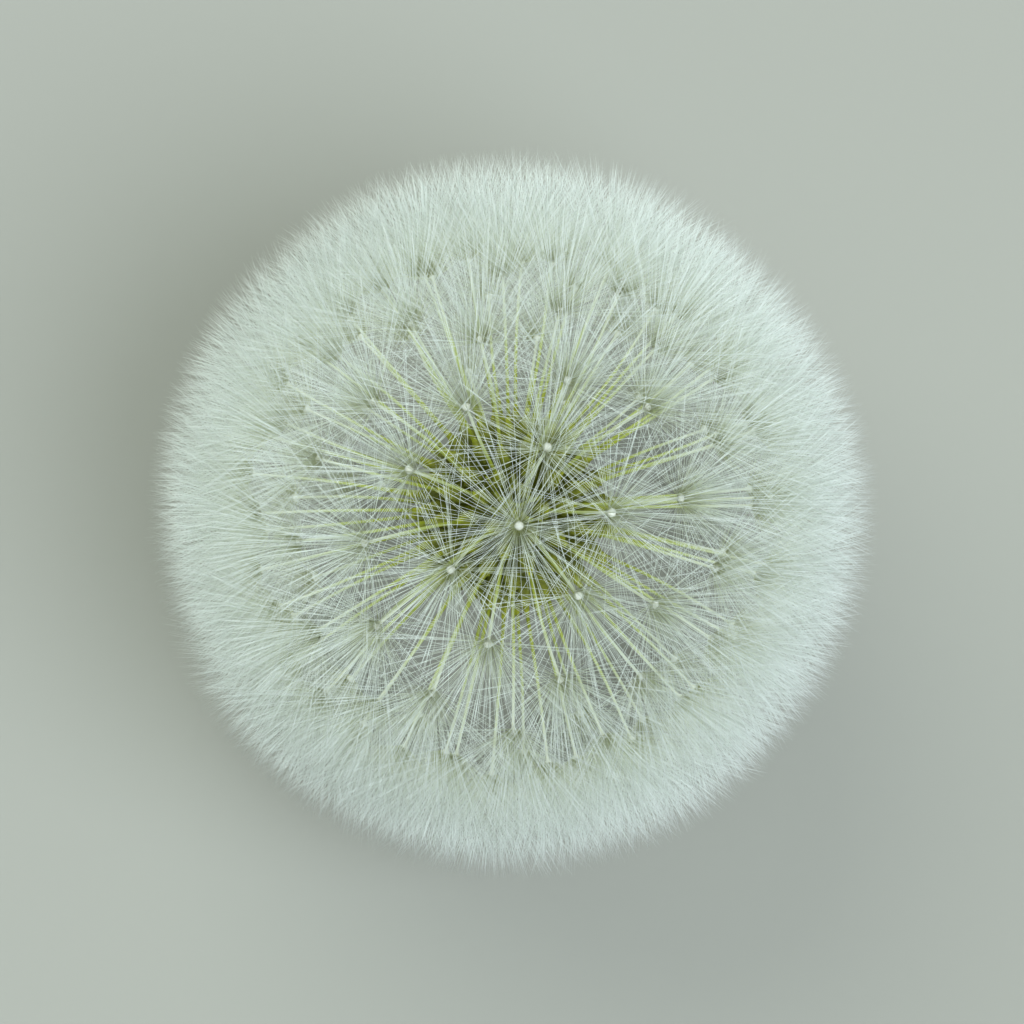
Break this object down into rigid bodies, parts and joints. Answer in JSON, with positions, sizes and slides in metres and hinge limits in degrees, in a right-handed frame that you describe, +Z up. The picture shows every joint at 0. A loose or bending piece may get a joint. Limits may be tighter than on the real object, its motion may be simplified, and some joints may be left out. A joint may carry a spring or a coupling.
{
  "type": "dandelion seed head",
  "caption": "Dandelion seed head: a ball of seeds with open white hairs round a domed receptacle, over two whorls of hanging bracts and a short hollow stalk.",
  "frame": {"origin": "on the surface that the head rests on, straight below the middle of the ball", "axes": "+Z up, along the stalk and towards the top of the ball"},
  "size_m": [0.0496, 0.0497, 0.0439],
  "materials": {
    "pappus": "fine white hair",
    "achene": "dull ribbed seed coat",
    "inner_bract": "dry leaf, matt",
    "outer_bract": "dry leaf, matt",
    "stalk": "smooth, slightly waxy"
  },
  "bodies": {
    "root": {"beaks_and_pappus": "pappus", "receptacle_and_achenes": "achene", "inner_bracts": "inner_bract", "outer_bracts": "outer_bract", "stalk_stub": "stalk"}
  },
  "joints": []
}
